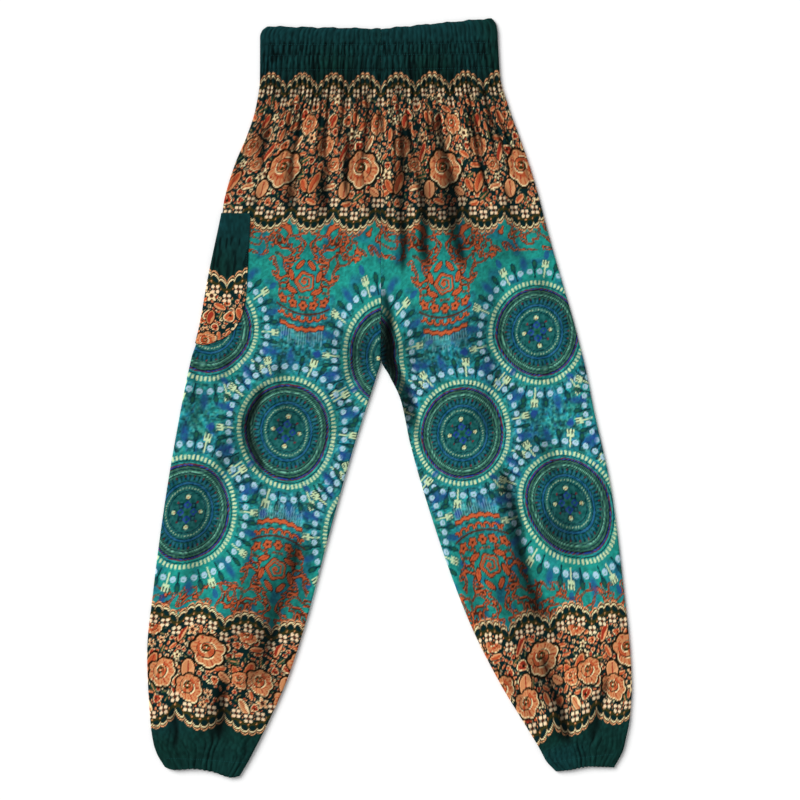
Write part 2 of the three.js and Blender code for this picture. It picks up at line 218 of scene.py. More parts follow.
# across, down, turn, half width, half length, fill and rim of the large buds and leaves in one repeat of a border
buds = [(-25, 27, 0.15, 8, 12, "tan", "peach"), (20, 30, -0.9, 5, 8, "tan", "peach"),
        (36, 22, -0.5, 5, 10, "terracotta", "tan"), (51, 18, 0.4, 6, 15, "terracotta", "tan"),
        (75, 24, 1.3, 4, 10, "tan", "cream"), (-33, -22, 0.35, 4, 15, "rust", "peach"),
        (8, -34, 0.5, 4, 12, "tan", "cream"), (63, -62, 0.3, 5, 9, "rust", "tan"),
        (-20, -66, -0.4, 5, 9, "terracotta", "peach"), (-6, -56, 0.9, 4, 8, "terracotta", "peach"),
        (18, 58, 0.8, 6, 10, "terracotta", "tan"), (44, 62, -0.5, 5, 11, "tan", "cream")]
# across, down and radius of the roses in one repeat, smallest first
upperRoses = [(76, -6, 10), (20, -58, 13), (57, -30, 14), (0, 0, 25)]
lowerRoses = [(50, -31, 13), (40, 30, 11), (-57, 28, 17), (-24, 49, 17), (0, 0, 22)]


def band(colour, u, v, top, bottom, shift, start, row, roses, seed):
    # a floral border between two rows of lace: small motifs first, then buds and roses over them, in repeats of
    # two scallops measured from start and row
    upper = v - top - scallopLine(u - shift)
    lower = bottom - scallopLine(u - shift) - v
    inside = (upper > 0) & (lower > 0)
    field = np.empty_like(colour)
    field[:] = tint["bandGround"]
    motifField(field, u, v, 7.5, 0.5, seed, 1.05)
    motifField(field, u, v, 13.0, -0.3, seed + 7, 1.5)
    motifField(field, u, v, 19.0, 0.9, seed + 11, 3.0)
    for across, down, turn, wide, long, fill, rim in buds:
        oval(field, centred(u - start - across, 2 * scallop), v - row - down, turn, wide, long, fill, rim)
    for across, down, radius in roses:
        rose(field, centred(u - start - across, 2 * scallop), v - row - down, radius, seed + radius)
    lace(field, u - shift, np.minimum(upper, lower))
    small = depthOfArcs(u - shift)
    inside &= (upper > small) & (lower > small)
    colour[inside] = field[inside]


def mandala(colour, a, b, start):
    # rings and spokes in polar form; the radius counts steps of 1.32 mm
    r = np.hypot(a * 1.03, b * 0.9) / 1.32
    angle = np.degrees(np.arctan2(b, a)) + start
    r = r + 0.4 * np.sin(np.radians(3 * angle)) * (r > 30)
    side = np.abs(centred(angle, 36))
    across = np.radians(side) * r
    stem = np.abs(np.radians(side - 9) * r)
    between = np.radians(18 - side) * r
    pearl = np.hypot(np.radians(np.minimum(np.abs(side - 4.5), np.abs(side - 13.5))) * r, r - 59.8)
    cup = (r > 64.5) & (r < 72) & (across < 3.2)
    blend(colour, 0.8 - 0.8 * smooth(np.hypot(between, (r - 68) * 0.45) / 5.5), "deepBlue")
    blend(colour, 0.75 * (np.hypot(stem, (r - 67) * 0.5) < 2.6), "shade")
    paint(colour, np.hypot(stem, (r - 68) * 0.6) < 1.4, "green")
    paint(colour, (stem < 0.7) & (r > 53) & (r < 64), "shade")
    blend(colour, 0.6 * (np.hypot(across, (r - 78) * 0.6) < 2.6), "deepBlue")
    paint(colour, np.hypot(between, (r - 67) * 0.7) < 1.5, "blue")
    paint(colour, pearl < 2.8, "pearl")
    paint(colour, (pearl < 1.3) & (r > 60), "mint")
    paint(colour, (across < 0.7) & (r > 54) & (r < 65), "lime")
    paint(colour, cup, "lime")
    paint(colour, cup & (r > 67.5) & (np.abs(across - 1.5) < 0.55), "shade")
    blend(colour, 0.38 * (r < 53.5) + 0.12 * (r < 52.6), "turquoise")
    paint(colour, (r < 50.6) & (r > 46.6) & (np.abs(centred(angle, 4.5)) < 1.2), "lime")
    paint(colour, (r < 45.8) & (r > 45.0), "shade")
    for radius, name in ((43.2, "wine"), (42.3, "deepBlue"), (41.4, "ink"), (40.4, "moss"), (38.8, "shade"),
                         (37.9, "moss"), (36.3, "mint"), (35.5, "shade"), (34.5, "moss"), (33.4, "disc"),
                         (27.4, "shade"), (26.6, "blue"), (24.8, "shade"), (24.0, "disc")):
        paint(colour, r < radius, name)
    paint(colour, (r < 33.2) & (r > 28) & (np.abs(centred(angle, 7.5)) < 0.35 * (r - 26.5)), "shade")
    paint(colour, (r < 31.0) & (r > 28.4) & (np.abs(centred(angle + 3.75, 7.5)) < 1.1), "blue")
    paint(colour, (r < 33) & (r > 31.4) & (np.abs(centred(angle, 15)) < 1.2), "wine")
    paint(colour, (r < 22.2) & (r > 20.8) & (np.abs(centred(angle, 7.5)) < 2.0), "lime")
    blend(colour, 0.35 * (np.abs(r - 21.5) < 1.2), "disc")
    paint(colour, (r < 18.9) & (r > 18.1), "shade")
    quarter, half = np.radians(centred(angle - 7, 90)), np.radians(centred(angle - 52, 90))
    out, off = r * np.cos(quarter), np.abs(r * np.sin(quarter))
    outHalf, offHalf = r * np.cos(half), np.abs(r * np.sin(half))
    paint(colour, np.hypot(off, out - 13.4) < 2.7, "shade")
    paint(colour, np.hypot(off, out - 13.6) < 2.0, "lime")
    paint(colour, np.hypot(off, out - 13.0) < 0.8, "tan")
    paint(colour, np.abs(offHalf + np.abs(outHalf - 8.5) - 2.6) < 1.2, "shade")
    paint(colour, np.abs(off + np.abs(out - 6.5) - 2.9) < 1.0, "deepBlue")
    paint(colour, np.hypot(offHalf, outHalf - 13) < 1.1, "wine")
    paint(colour, r < 3.0, "green")
    fleck = softNoise(a, b, 2.6, 31) - 0.5
    colour += (np.where(r < 46, 0.14, 0.0) * fleck)[..., None]


def curls(colour, noise, within, reach):
    # tendrils: bands around two levels of a soft noise, with dark edges
    spread = np.minimum(np.abs(noise - 0.42), np.abs(noise - 0.62))
    paint(colour, within & (spread < reach * 2.4), "maroon")
    paint(colour, within & (spread < reach), "vine")


def medallion(colour, a, down):
    # mirrored tendrils round a spiral bloom with leaves, and under them an arc of five flowers, a row of small loops
    # and a scalloped arc, each arc sagging in the middle
    side = np.abs(a)
    noise = softNoise(side + 3 * np.sin(down / 7), down + 3 * np.sin(side / 6), 9.0, 23)
    clear = np.hypot(side, (down - 60) * 0.85) < 22
    curls(colour, noise, (down < 88) & (side < 54 - 0.2 * down + 4 * np.sin(down / 7)) & ~clear, 0.032)
    for across, drop, tilt in ((8, 44, -0.7), (19, 58, 0.3), (17, 78, 1.1)):
        oval(colour, side - across, down - drop, tilt, 3.2, 7.5, "vine", "vine")
    angle = np.arctan2(down - 66, a)
    r = np.hypot(a, down - 66) / 12.5 * (1 + 0.09 * np.cos(5 * angle))
    turn = (r * 2.2 - angle / (2 * np.pi)) % 1
    paint(colour, r < 1.12, "maroon")
    paint(colour, r < 1.02, "vine")
    paint(colour, (r < 0.86) & (turn > 0.36), "turquoise")
    paint(colour, (r < 0.86) & (turn > 0.86), "maroon")
    paint(colour, r < 0.2, "vine")
    sag = down + 0.0085 * side * side
    for across in (0, 14, 28):
        x, y = side - across, sag - 97
        petal = 6.0 * (0.84 + 0.16 * np.cos(5 * np.arctan2(y, x)))
        paint(colour, np.hypot(x, y) < petal + 1.2, "maroon")
        paint(colour, np.hypot(x, y) < petal, "vine")
        paint(colour, np.hypot(x, y) < 1.8, "maroon")
    strokes = (sag > 131) & (sag < 148 + 5 * np.sin(side / 2)) & (side < 28)
    blend(colour, 0.4 * (strokes & (np.abs(centred(side, 3.4)) < 0.9)), "pearl")
    paint(colour, (np.abs(sag - 108) < 1.2) & (side < 36), "maroon")
    loops = np.abs(np.hypot(centred(side, 10.8), sag - 113) - 4.2)
    paint(colour, (loops < 1.9) & (sag > 111) & (side < 33), "maroon")
    paint(colour, (loops < 1.0) & (sag > 111) & (side < 33), "vine")
    line = sag - 126 - 2.4 * np.abs(np.sin(side / 3.6))
    paint(colour, (np.abs(line) < 3.4) & (side < 30), "maroon")
    paint(colour, (np.abs(line) < 2.2) & (side < 29), "vine")


def ground(colour, u, v):
    # soft noises blend blues into greens and speckle them; it is turquoise near the borders, with fine vines
    fromMiddle = np.abs(v - 458)
    border = smooth((fromMiddle - 130) / 60)
    colour[:] = tint["teal"]
    blend(colour, 0.8 * softNoise(u, v, 19, 3) - 0.2, "blue")
    blend(colour, 1.0 * softNoise(u, v, 7, 5) - 0.45, "green")
    blend(colour, 1.6 * softNoise(u, v * 0.5, 4, 6) - 1.1, "deepBlue")
    blend(colour, 0.3 * (cellNoise(np.floor(u / 2.6), np.floor(v / 3), 13) > 0.7), "mint")
    blend(colour, 0.9 * border, "turquoise")
    blend(colour, border * (2.2 * softNoise(u, v, 13, 9) - 1.35), "blue")
    speckle = (softNoise(u, v, 2.2, 11) - 0.5) * 0.6 + (softNoise(u, v, 4.5, 12) - 0.5) * 0.6
    colour *= (1 + speckle * (1 - 0.6 * border))[..., None]
    wave = 12 * np.cos(np.pi * u / (2 * scallop)) + 8 * softNoise(u, v, 21, 19)
    noise = softNoise(u + 4 * np.sin(v / 8), v + 4 * np.sin(u / 9), 8.5, 21)
    curls(colour, noise, (fromMiddle + wave > 222) & (np.abs(centred(u, 4 * scallop)) > 40), 0.03)


def printColour(u, v, roses):
    # the whole border print, from the plain waist edge to the plain ankle edge, with painted shade in the puckers of
    # the waist
    colour = np.empty(u.shape + (3,))
    ground(colour, u, v)
    column = centred(u, 4 * scallop)
    for row, shift in ((349, 2 * scallop), (470, 0), (591, 2 * scallop)):
        mandala(colour, centred(u - shift, 4 * scallop), v - row, 6)
    medallion(colour, column, v - 202)
    medallion(colour, column, 714 - v)
    band(colour, u, v, -9, 204, 0, roses[0], 119, upperRoses, 5)
    band(colour, u, v, 706, 870, scallop / 2, roses[1], 770, lowerRoses, 9)
    edge = depthOfArcs(u)
    waist = v < -9 + scallopLine(u) + edge
    ankle = v > 870 - scallopLine(u - scallop / 2) - depthOfArcs(u - scallop / 2)
    paint(colour, waist | ankle, "darkTeal")
    side = softNoise(u, v, 70, 41)
    plain = (waist | ankle).astype(float)
    blend(colour, plain * (1.6 * side - 0.8), "nightBlue")
    blend(colour, plain * (0.8 - 1.6 * side), "nightGreen")
    colour *= (1 + plain * 0.35 * (softNoise(u, v * 0.5, 2.5, 43) - 0.5))[..., None]
    # painted shade: short dark streaks in the puckers between the waist elastic rows
    strokes = smooth(3.2 * softNoise(u + 0.12 * v, v * 0.2, 2.8, 51) - 1.5) * smooth((v + 52) / 6)
    blend(colour, waist * 0.7 * strokes, "puckerShade")
    return np.clip(colour, 0, 1)


# Cloth form, as in the frame

cloth = {"gap": 0.3, "wall": 1.2, "round": 3.0, "dome": 0.8, "lip": 0.3, "fade": 12.0,
         "opensFrom": 300.0, "crotch": 349.0, "hem": 930.0, "ankleElastic": 913.0,
         "elastic": (-44.2, -30.4, -11.9), "waistGathers": 22, "ankleGathers": 14}
pocket = {"top": 179.0, "bottom": 377.0, "before": 17.0, "full": 0.52, "none": 0.64, "gap": 0.3, "wall": 1.2}

# v, outerX, outerY, innerX, innerY, outerU, innerU
rightSections = np.array([
    (-68, -161.5, 490.8, -11.2, 487.7, -144, 92), (-63, -168.3, 485.3, -11.2, 483.2, -144, 92),
    (-55, -171.0, 477.0, -11.2, 475.6, -144, 92), (-43, -171.0, 465.3, -11.2, 465.3, -144, 92),
    (0, -171.2, 421.1, -11.2, 421.1, -144, 92), (40, -176.7, 382.8, -11.2, 382.8, -141, 93),
    (75, -188.5, 345.8, -11.2, 345.8, -138, 95), (110, -203.1, 311.5, -11.2, 310.2, -134, 96),
    (150, -215.4, 273.2, -11.2, 270.6, -131, 98), (205, -227.3, 219.1, -11.2, 213.8, -128, 101),
    (277, -240.0, 158.4, -11.2, 133.3, -131, 105), (349, -251.0, 97.0, -11.2, 51.5, -135, 108),
    (372, -255.6, 77.0, -16.5, 30.4, -136, 105), (410, -264.7, 39.6, -27.1, -2.6, -138, 100),
    (470, -276.5, -19.8, -45.5, -59.4, -141, 91), (591, -296.8, -138.6, -79.4, -179.5, -152, 65),
    (707, -312.2, -256.1, -110.2, -295.7, -158, 45), (790, -320.1, -339.2, -135.7, -373.6, -156, 18),
    (869, -315.4, -431.6, -168.7, -446.2, -155, -14), (900, -311.5, -457.0, -179.5, -467.0, -155, -24),
    (915, -306.5, -471.2, -185.0, -477.8, -155, -28), (930, -297.0, -487.0, -197.5, -499.0, -155, -32)])
leftSections = np.array([
    (-68, 135.0, 501.6, -11.2, 487.7, 124, -92), (-63, 140.6, 494.5, -11.2, 483.2, 124, -92),
    (-55, 142.8, 482.0, -11.2, 475.6, 124, -92), (-43, 143.4, 468.6, -11.2, 465.3, 124, -92),
    (0, 146.3, 424.4, -11.2, 421.1, 124, -92), (40, 156.9, 385.4, -11.2, 382.8, 129, -91),
    (75, 170.1, 348.5, -11.2, 345.8, 133, -91), (110, 182.8, 312.8, -11.2, 310.2, 139, -90),
    (150, 194.7, 274.6, -11.2, 270.6, 145, -90), (205, 209.2, 219.1, -11.2, 213.8, 151.6, -89.4),
    (277, 226.8, 157.1, -11.2, 133.3, 162, -88), (349, 244.4, 96.4, -11.2, 51.5, 172, -86.5),
    (372, 249.7, 75.5, -0.7, 30.4, 174, -83), (410, 258.5, 40.9, 14.7, -2.6, 177, -78),
    (470, 269.9, -15.8, 27.1, -59.4, 179, -71), (591, 293.7, -126.7, 59.2, -169.0, 181, -57),
    (707, 309.5, -253.4, 105.4, -295.7, 174, -53), (790, 318.3, -339.2, 146.3, -377.5, 174, -10),
    (830, 320.1, -380.2, 171.8, -419.8, 173, 14), (869, 317.5, -422.4, 196.0, -459.4, 172, 38),
    (900, 312.3, -450.0, 202.0, -470.5, 169, 48), (915, 308.9, -464.6, 206.5, -479.0, 166, 52),
    (930, 297.0, -487.7, 219.4, -493.0, 160, 60)])
# v, height inside, height outside, size of waist gathers, size of ankle gathers
heights = np.array([
    (-68, 2.6, 4.0, 0.2, 0), (-64, 3.0, 4.9, 0.35, 0), (-50, 3.1, 5.1, 0.5, 0), (-44.2, 3.1, 5.1, 0.5, 0),
    (-37, 3.1, 5.1, 0.95, 0), (-30.4, 3.1, 5.2, 0.5, 0), (-21, 3.2, 5.2, 0.95, 0), (-11.9, 3.2, 5.2, 0.5, 0),
    (-3, 3.2, 5.2, 0.95, 0), (10, 3.2, 5.2, 0.9, 0), (52, 3.2, 5.2, 0.5, 0), (100, 3.2, 5.2, 0.0, 0),
    (205, 3.0, 5.0, 0, 0), (470, 2.9, 4.9, 0, 0), (707, 2.9, 4.9, 0, 0), (830, 3.2, 5.2, 0, 0),
    (862, 3.5, 5.5, 0, 0.05), (880, 3.7, 5.7, 0, 0.35), (900, 3.8, 5.8, 0, 0.85), (913, 3.5, 5.5, 0, 0.45),
    (921, 3.3, 5.3, 0, 0.9), (930, 3.0, 4.9, 0, 0.5)])
# share of the way across from the outer end, rise of the hem
rightHem = np.array([(0, 0), (0.1, -2.4), (0.43, 2.6), (0.65, 1.2), (0.88, -3.4), (1, 0)])
leftHem = np.array([(0, 0), (0.2, 2), (0.45, 3.7), (0.75, 1), (1, 0)])
# each soft fold: from x, from y, to x, to y, height, half width
rightFolds = [
    (-160, 354, -168, 294, -0.8, 6), (-150, 372, -151, 300, 0.6, 6), (-118, 380, -133, 242, -1.0, 8),
    (-133, 242, -141, 169, -0.9, 9), (-104, 376, -112, 220, 0.8, 8), (-89, 393, -84, 255, -0.8, 6),
    (-72, 385, -66, 215, 0.7, 8), (-55, 367, -57, 275, -0.7, 6), (-31, 400, -28, 314, -0.7, 5),
    (-40, 240, -46, 90, 0.6, 12), (-168, 17, -184, -36, -0.9, 8), (-184, -36, -168, -98, -0.8, 8),
    (-205, -120, -236, -300, 0.7, 16), (-120, -190, -170, -380, -0.6, 11), (-282, -210, -290, -370, 0.6, 12),
    (-215, -380, -228, -450, -0.9, 8), (-258, -395, -262, -452, 0.8, 9), (-288, -410, -280, -460, -0.8, 7),
    (-190, -425, -205, -465, 0.7, 7)]
leftFolds = [
    (14, 354, 18, 169, -0.8, 7), (3, 330, 4, 190, 0.6, 6), (28, 367, 51, 182, -0.9, 8),
    (30, 330, 36, 170, 0.6, 6), (67, 374, 97, 180, -1.0, 8), (84, 385, 120, 250, 0.8, 8),
    (106, 380, 133, 261, -0.8, 7), (126, 400, 162, 301, -0.7, 6), (-6, 142, 3, 40, -1.0, 9),
    (3, 40, 16, -60, -0.8, 8), (40, 30, 66, -120, 0.6, 14), (225, 60, 262, -110, 0.6, 16),
    (150, -90, 196, -290, -0.6, 12), (262, -150, 282, -330, 0.7, 14), (205, -340, 236, -455, -0.9, 8),
    (240, -360, 256, -450, 0.8, 9), (284, -370, 272, -455, -0.8, 8), (196, -420, 222, -470, 0.6, 7)]
# the last entry of each leg is the strength of painted shade along the inner seam edge around the crotch, where that
# cloth turns under
legs = {
    "right": {"sections": rightSections, "folds": rightFolds, "hem": rightHem, "side": -1, "pocket": True,
              "roses": (68.0, -80.0), "seamFoldShade": 0.0},
    "left": {"sections": leftSections, "folds": leftFolds, "hem": leftHem, "side": 1, "pocket": False,
             "roses": (8.0, 50.0), "seamFoldShade": 0.6}}


def pocketLift(leg, v, share):
    # the thickness of the pocket below the leg, all of it within the pocket and none beyond its surroundings
    if not leg["pocket"]:
        return 0 * (v + share)
    into = smooth((v - pocket["top"] + pocket["before"]) / pocket["before"])
    out = smooth((pocket["bottom"] + pocket["before"] - v) / pocket["before"])
    across = smooth((pocket["none"] - share) / (pocket["none"] - pocket["full"]))
    return (pocket["gap"] + pocket["wall"]) * into * out * across


def foldHeight(leg, x, y):
    # each fold: its height, times exp of minus a power of the distance across it, faded out at its two ends;
    # a ridge is a bell and a trough is sharper, steep on one side
    height = 0 * x
    for fromX, fromY, toX, toY, rise, halfWidth in leg["folds"]:
        length = np.hypot(toX - fromX, toY - fromY)
        dirX, dirY = (toX - fromX) / length, (toY - fromY) / length
        along = (x - fromX) * dirX + (y - fromY) * dirY
        across = (x - fromX) * dirY - (y - fromY) * dirX
        wander = across + 2.5 * np.sin(along / 23 + fromX) + 0.8 * np.sin(along / 8 + fromY)
        ends = smooth((along + 15) / 30) * smooth((length + 15 - along) / 30)
        power, reach = (1.3, np.where(wander > 0, 1.3, 0.6)) if rise < 0 else (2.0, 1.0)
        height = height + rise * ends * np.exp(-(np.abs(wander) / (halfWidth * reach)) ** power)
    return height


def gatherHeight(leg, v, share):
    # half waves across the leg, round above and sharp below, each with a size and length of its own;
    # each band between two elastic rows has its own offset, and they wander downwards
    bandIndex = sum((v > row).astype(float) for row in cloth["elastic"])
    wander = 0.16 * np.sin(v / 13 + 9 * share) + 0.32 * np.sin(17 * share + leg["side"])
    turn = share * cloth["waistGathers"] + 0.25 * np.minimum(bandIndex, 2) + wander
    own = cellNoise(np.floor(turn + 0.5), 0 * turn, leg["side"] + 3)
    reach = np.where(v > 0, v / (0.55 + 1.5 * own), v)
    uneven = 0.55 + 0.7 * cellNoise(np.floor(turn + 0.5), bandIndex, 4)
    waist = curve(heights, 3, reach) * (2 * uneven * np.abs(np.cos(np.pi * turn)) - 1)
    streak = share * 11 + 0.25 * np.sin(v / 31 + 5 * share) + 0.6 * np.sin(6 * share + leg["side"])
    streakOwn = cellNoise(np.floor(streak + 0.5), 0 * streak, leg["side"] + 6)
    longer = smooth((v + 12) / 40) * smooth((110 + 150 * streakOwn - v) / 120)
    longer = longer * (1.6 - 2.0 * np.sqrt(np.abs(np.cos(np.pi * streak)))) * (0.4 + 0.6 * streakOwn)
    ankleTurn = share * cloth["ankleGathers"] + 0.25 * np.sin(v / 9 + 11 * share) + 0.5 * np.sin(9 * share)
    ankleOwn = cellNoise(np.floor(ankleTurn + 0.5), 0 * ankleTurn, 8) ** 2
    ankle = curve(heights, 4, v) * (2 * (0.25 + ankleOwn) * np.abs(np.cos(np.pi * ankleTurn)) - 0.9 * ankleOwn)
    drape = 0.9 * (softNoise(share * 180, v * 0.3, 17, 61) - 0.5) * smooth((v - 20) / 60)
    # small crumples of the cloth that the elastic bunches up
    bunched = smooth((-6 - v) / 8) + smooth((v - 902) / 8)
    crumple = 0.55 * (softNoise(share * 165 + v * 0.4, v - share * 30, 4.6, 77) - 0.5) * bunched
    return waist - longer + ankle + drape + crumple


def grooves(v):
    # a bell-shaped dip at each elastic row, shallow at the ankle
    waist = sum(np.exp(-((v - row) / 2) ** 2) for row in cloth["elastic"])
    return 0.8 * waist + 0.25 * np.exp(-((v - cloth["ankleElastic"]) / 3) ** 2)


def clothSurface(leg, v, part, depth):
    # part is 3 at the front seam edge, 0 at the side fold and -3 at the back seam edge, level from 1 to 2;
    # the arcs beside them are quarter turns. Gives points, relief and how far across from the side fold to the seam.
    v, part = np.broadcast_arrays(v, part)
    sections = leg["sections"]
    outerX, outerY, innerY = curve(sections, 1, v), curve(sections, 2, v), curve(sections, 4, v)
    innerX = curve(sections, 3, v) + leg["side"] * cloth["gap"] / 2
    fullWidth = np.hypot(innerX - outerX, innerY - outerY)
    inset = pocketLift(leg, v, 0 * v)
    width = fullWidth - inset
    step, isFront = np.abs(part), part >= 0
    opened = smooth((v - cloth["opensFrom"]) / (cloth["crotch"] - cloth["opensFrom"]))
    radius = cloth["round"]
    foldTurn, seamTurn = np.clip(step, 0, 1) * np.pi / 2, np.clip(3 - step, 0, 1) * np.pi / 2
    distance = radius + (step - 1) * (width - 2 * radius)
    distance = np.where(step < 1, depth + (radius - depth) * (1 - np.cos(foldTurn)), distance)
    seamDepth = opened * depth
    distance = np.where(step > 2, width - seamDepth - (radius - seamDepth) * (1 - np.cos(seamTurn)), distance)
    fraction = (inset + distance) / fullWidth
    x, y = outerX + (innerX - outerX) * fraction, outerY + (innerY - outerY) * fraction
    share = np.clip((distance - radius) / (width - 2 * radius), 0, 1)
    lift = pocketLift(leg, v, share)
    dome = cloth["dome"] * (1 - (2 * share - 1) ** 4)
    fromSeam = np.where(v < cloth["opensFrom"], cloth["fade"], width - distance)
    edgeFade = smooth(distance / cloth["fade"]) * smooth(fromSeam / cloth["fade"])
    underPocket = lift / (pocket["gap"] + pocket["wall"])
    relief = (1.9 * foldHeight(leg, x, y) + 1.4 * gatherHeight(leg, v, share)) * edgeFade * (1 - underPocket)
    relief = np.clip(relief, -1.7, 2.6) - grooves(v) * edgeFade
    relief = np.maximum(relief, -1.7)
    if depth > 0:
        front = lift + curve(heights, 1, v) + dome
    else:
        front = lift + curve(heights, 2, v) + dome + relief - depth
    target = np.where(isFront, front, lift + depth)
    half = curve(heights, 2, v) / 2
    middle = pocketLift(leg, v, 0 * v) + half
    z = np.where(step < 1, middle + (target - middle) * np.sin(foldTurn), target)
    edge = half + np.where(isFront, 0.5, -0.5) * cloth["gap"]
    joined = target - np.where(isFront, cloth["lip"] * (1 - np.sin(seamTurn)), 0)
    z = np.where(step > 2, (1 - opened) * joined + opened * (edge + (target - edge) * np.sin(seamTurn)), z)
    hem = smooth((v - cloth["ankleElastic"]) / (cloth["hem"] - cloth["ankleElastic"]))
    y = y + hem * curve(leg["hem"], 1, fraction)
    wavyTop = smooth((-56 - v) / 10) * smooth(distance / 10)
    y = y + wavyTop * (0.6 * np.sin(29 * fraction + 2 * leg["side"]) + 0.35 * np.sin(67 * fraction))
    if depth <= 0:
        ripple = np.cos(2 * np.pi * share * cloth["ankleGathers"]) * np.sin(np.pi * share)
        y = y + np.where(isFront, 0.8 * hem * ripple, 0)
    return np.stack([x, y, z], axis=-1), relief, distance / width


def printPlace(leg, v, part, across):
    # cloth width at a point, from the seam to the side fold on the front and on round the fold on the back, and
    # its length, which falls back towards the side fold of the lower leg
    sections = leg["sections"]
    outerU, innerU = curve(sections, 5, v), curve(sections, 6, v)
    drop = 12 * smooth((v - 420) / 200) * smooth((900 - v) / 60) * (1 - smooth(across / 0.3))
    return outerU + (innerU - outerU) * across * np.where(part >= 0, 1, -1), v - drop


# Meshes

def gridFaces(index):
    # one four-sided face for each cell of a grid of point numbers
    return np.stack([index[:-1, :-1], index[:-1, 1:], index[1:, 1:], index[1:, :-1]], axis=-1).reshape(-1, 4)


def zipRows(first, firstKeys, second, secondKeys):
    # triangles between two rows of point numbers, taking the steps of both in the order of their keys
    order = np.argsort(np.concatenate([firstKeys[1:], secondKeys[1:]]), kind="stable")
    onFirst = order < len(firstKeys) - 1
    i = np.cumsum(onFirst) - onFirst
    j = np.cumsum(~onFirst) - ~onFirst
    third = np.where(onFirst, first[np.minimum(i + 1, len(first) - 1)], second[np.minimum(j + 1, len(second) - 1)])
    return np.stack([first[i], second[j], third], axis=-1)


def shellMesh(name, outside, inside, outsideKeys, insideKeys, flip):
    # a closed shell between an outside grid and an inside grid, each (rows, columns, 3), joined at its four edges
    rows, columns = outside.shape[:2]
    out = np.arange(rows * columns).reshape(rows, columns)
    inn = out.size + np.arange(inside.shape[0] * inside.shape[1]).reshape(inside.shape[:2])
    quads = np.concatenate([gridFaces(out), gridFaces(inn)[:, ::-1]])
    (outRows, outColumns), (inRows, inColumns) = outsideKeys, insideKeys
    edges = [zipRows(inn[0], inColumns, out[0], outColumns)[:, ::-1],
             zipRows(out[-1], outColumns, inn[-1], inColumns)[:, ::-1],
             zipRows(inn[:, 0], inRows, out[:, 0], outRows),
             zipRows(out[:, -1], outRows, inn[:, -1], inRows)]
    triangles = np.concatenate(edges)
    if flip:
        quads, triangles = quads[:, ::-1], triangles[:, ::-1]
    points = np.concatenate([outside.reshape(-1, 3), inside.reshape(-1, 3)]) * millimetre
    mesh = bpy.data.meshes.new(name)
    mesh.from_pydata(points.tolist(), [], quads.tolist() + triangles.tolist())
    mesh.polygons.foreach_set("use_smooth", np.ones(len(mesh.polygons), bool))
    mesh.update()
    piece = bpy.data.objects.new(name, mesh)
    bpy.context.collection.objects.link(piece)
    return piece


def storeColour(piece, outsideColour, insideCount):
    # outside points carry the print, inside ones the plain back of the cloth, in linear values
    colour = np.concatenate([outsideColour.reshape(-1, 3), np.tile(tint["darkTeal"] * 1.3, (insideCount, 1))])
    colour = np.clip(colour, 0, 1)
    linear = np.where(colour <= 0.04045, colour / 12.92, ((colour + 0.055) / 1.055) ** 2.4)
    values = np.concatenate([linear, np.ones((len(linear), 1))], axis=1)
    layer = piece.data.color_attributes.new(name="print", type="FLOAT_COLOR", domain="POINT")
    layer.data.foreach_set("color", values.ravel())


def storeUv(piece, u, v, insideCount):
    # cloth width and length in millimetres, for the weave
    place = np.stack([u.ravel(), v.ravel()], axis=-1)
    place = np.concatenate([place, np.zeros((insideCount, 2))])
    corner = np.empty(len(piece.data.loops), np.int32)
    piece.data.loops.foreach_get("vertex_index", corner)
    layer = piece.data.uv_layers.new(name="cloth")
    layer.data.foreach_set("uv", place[corner].ravel())


def sampledPrint(u, v, colourAt):
    # the mean of the print at four places within each grid cell, so that fine lines stay even,
    # plus 0.35 of its difference from the four cells beside it, less an eighth of that difference's size, so that
    # they stay crisp and no brighter
    acrossStep = np.gradient(u, axis=1)
    downStep = np.gradient(v, axis=0)
    total = 0
    for across, down in ((-0.17, -0.17), (0.17, -0.17), (-0.17, 0.17), (0.17, 0.17)):
        total = total + colourAt(u + across * acrossStep, v + down * downStep) / 4
    beside = total.copy()
    beside[1:-1, 1:-1] = (total[:-2, 1:-1] + total[2:, 1:-1] + total[1:-1, :-2] + total[1:-1, 2:]) / 4
    return np.clip(total + 0.35 * (total - beside) - 0.13 * np.abs(total - beside), 0.004, 1)


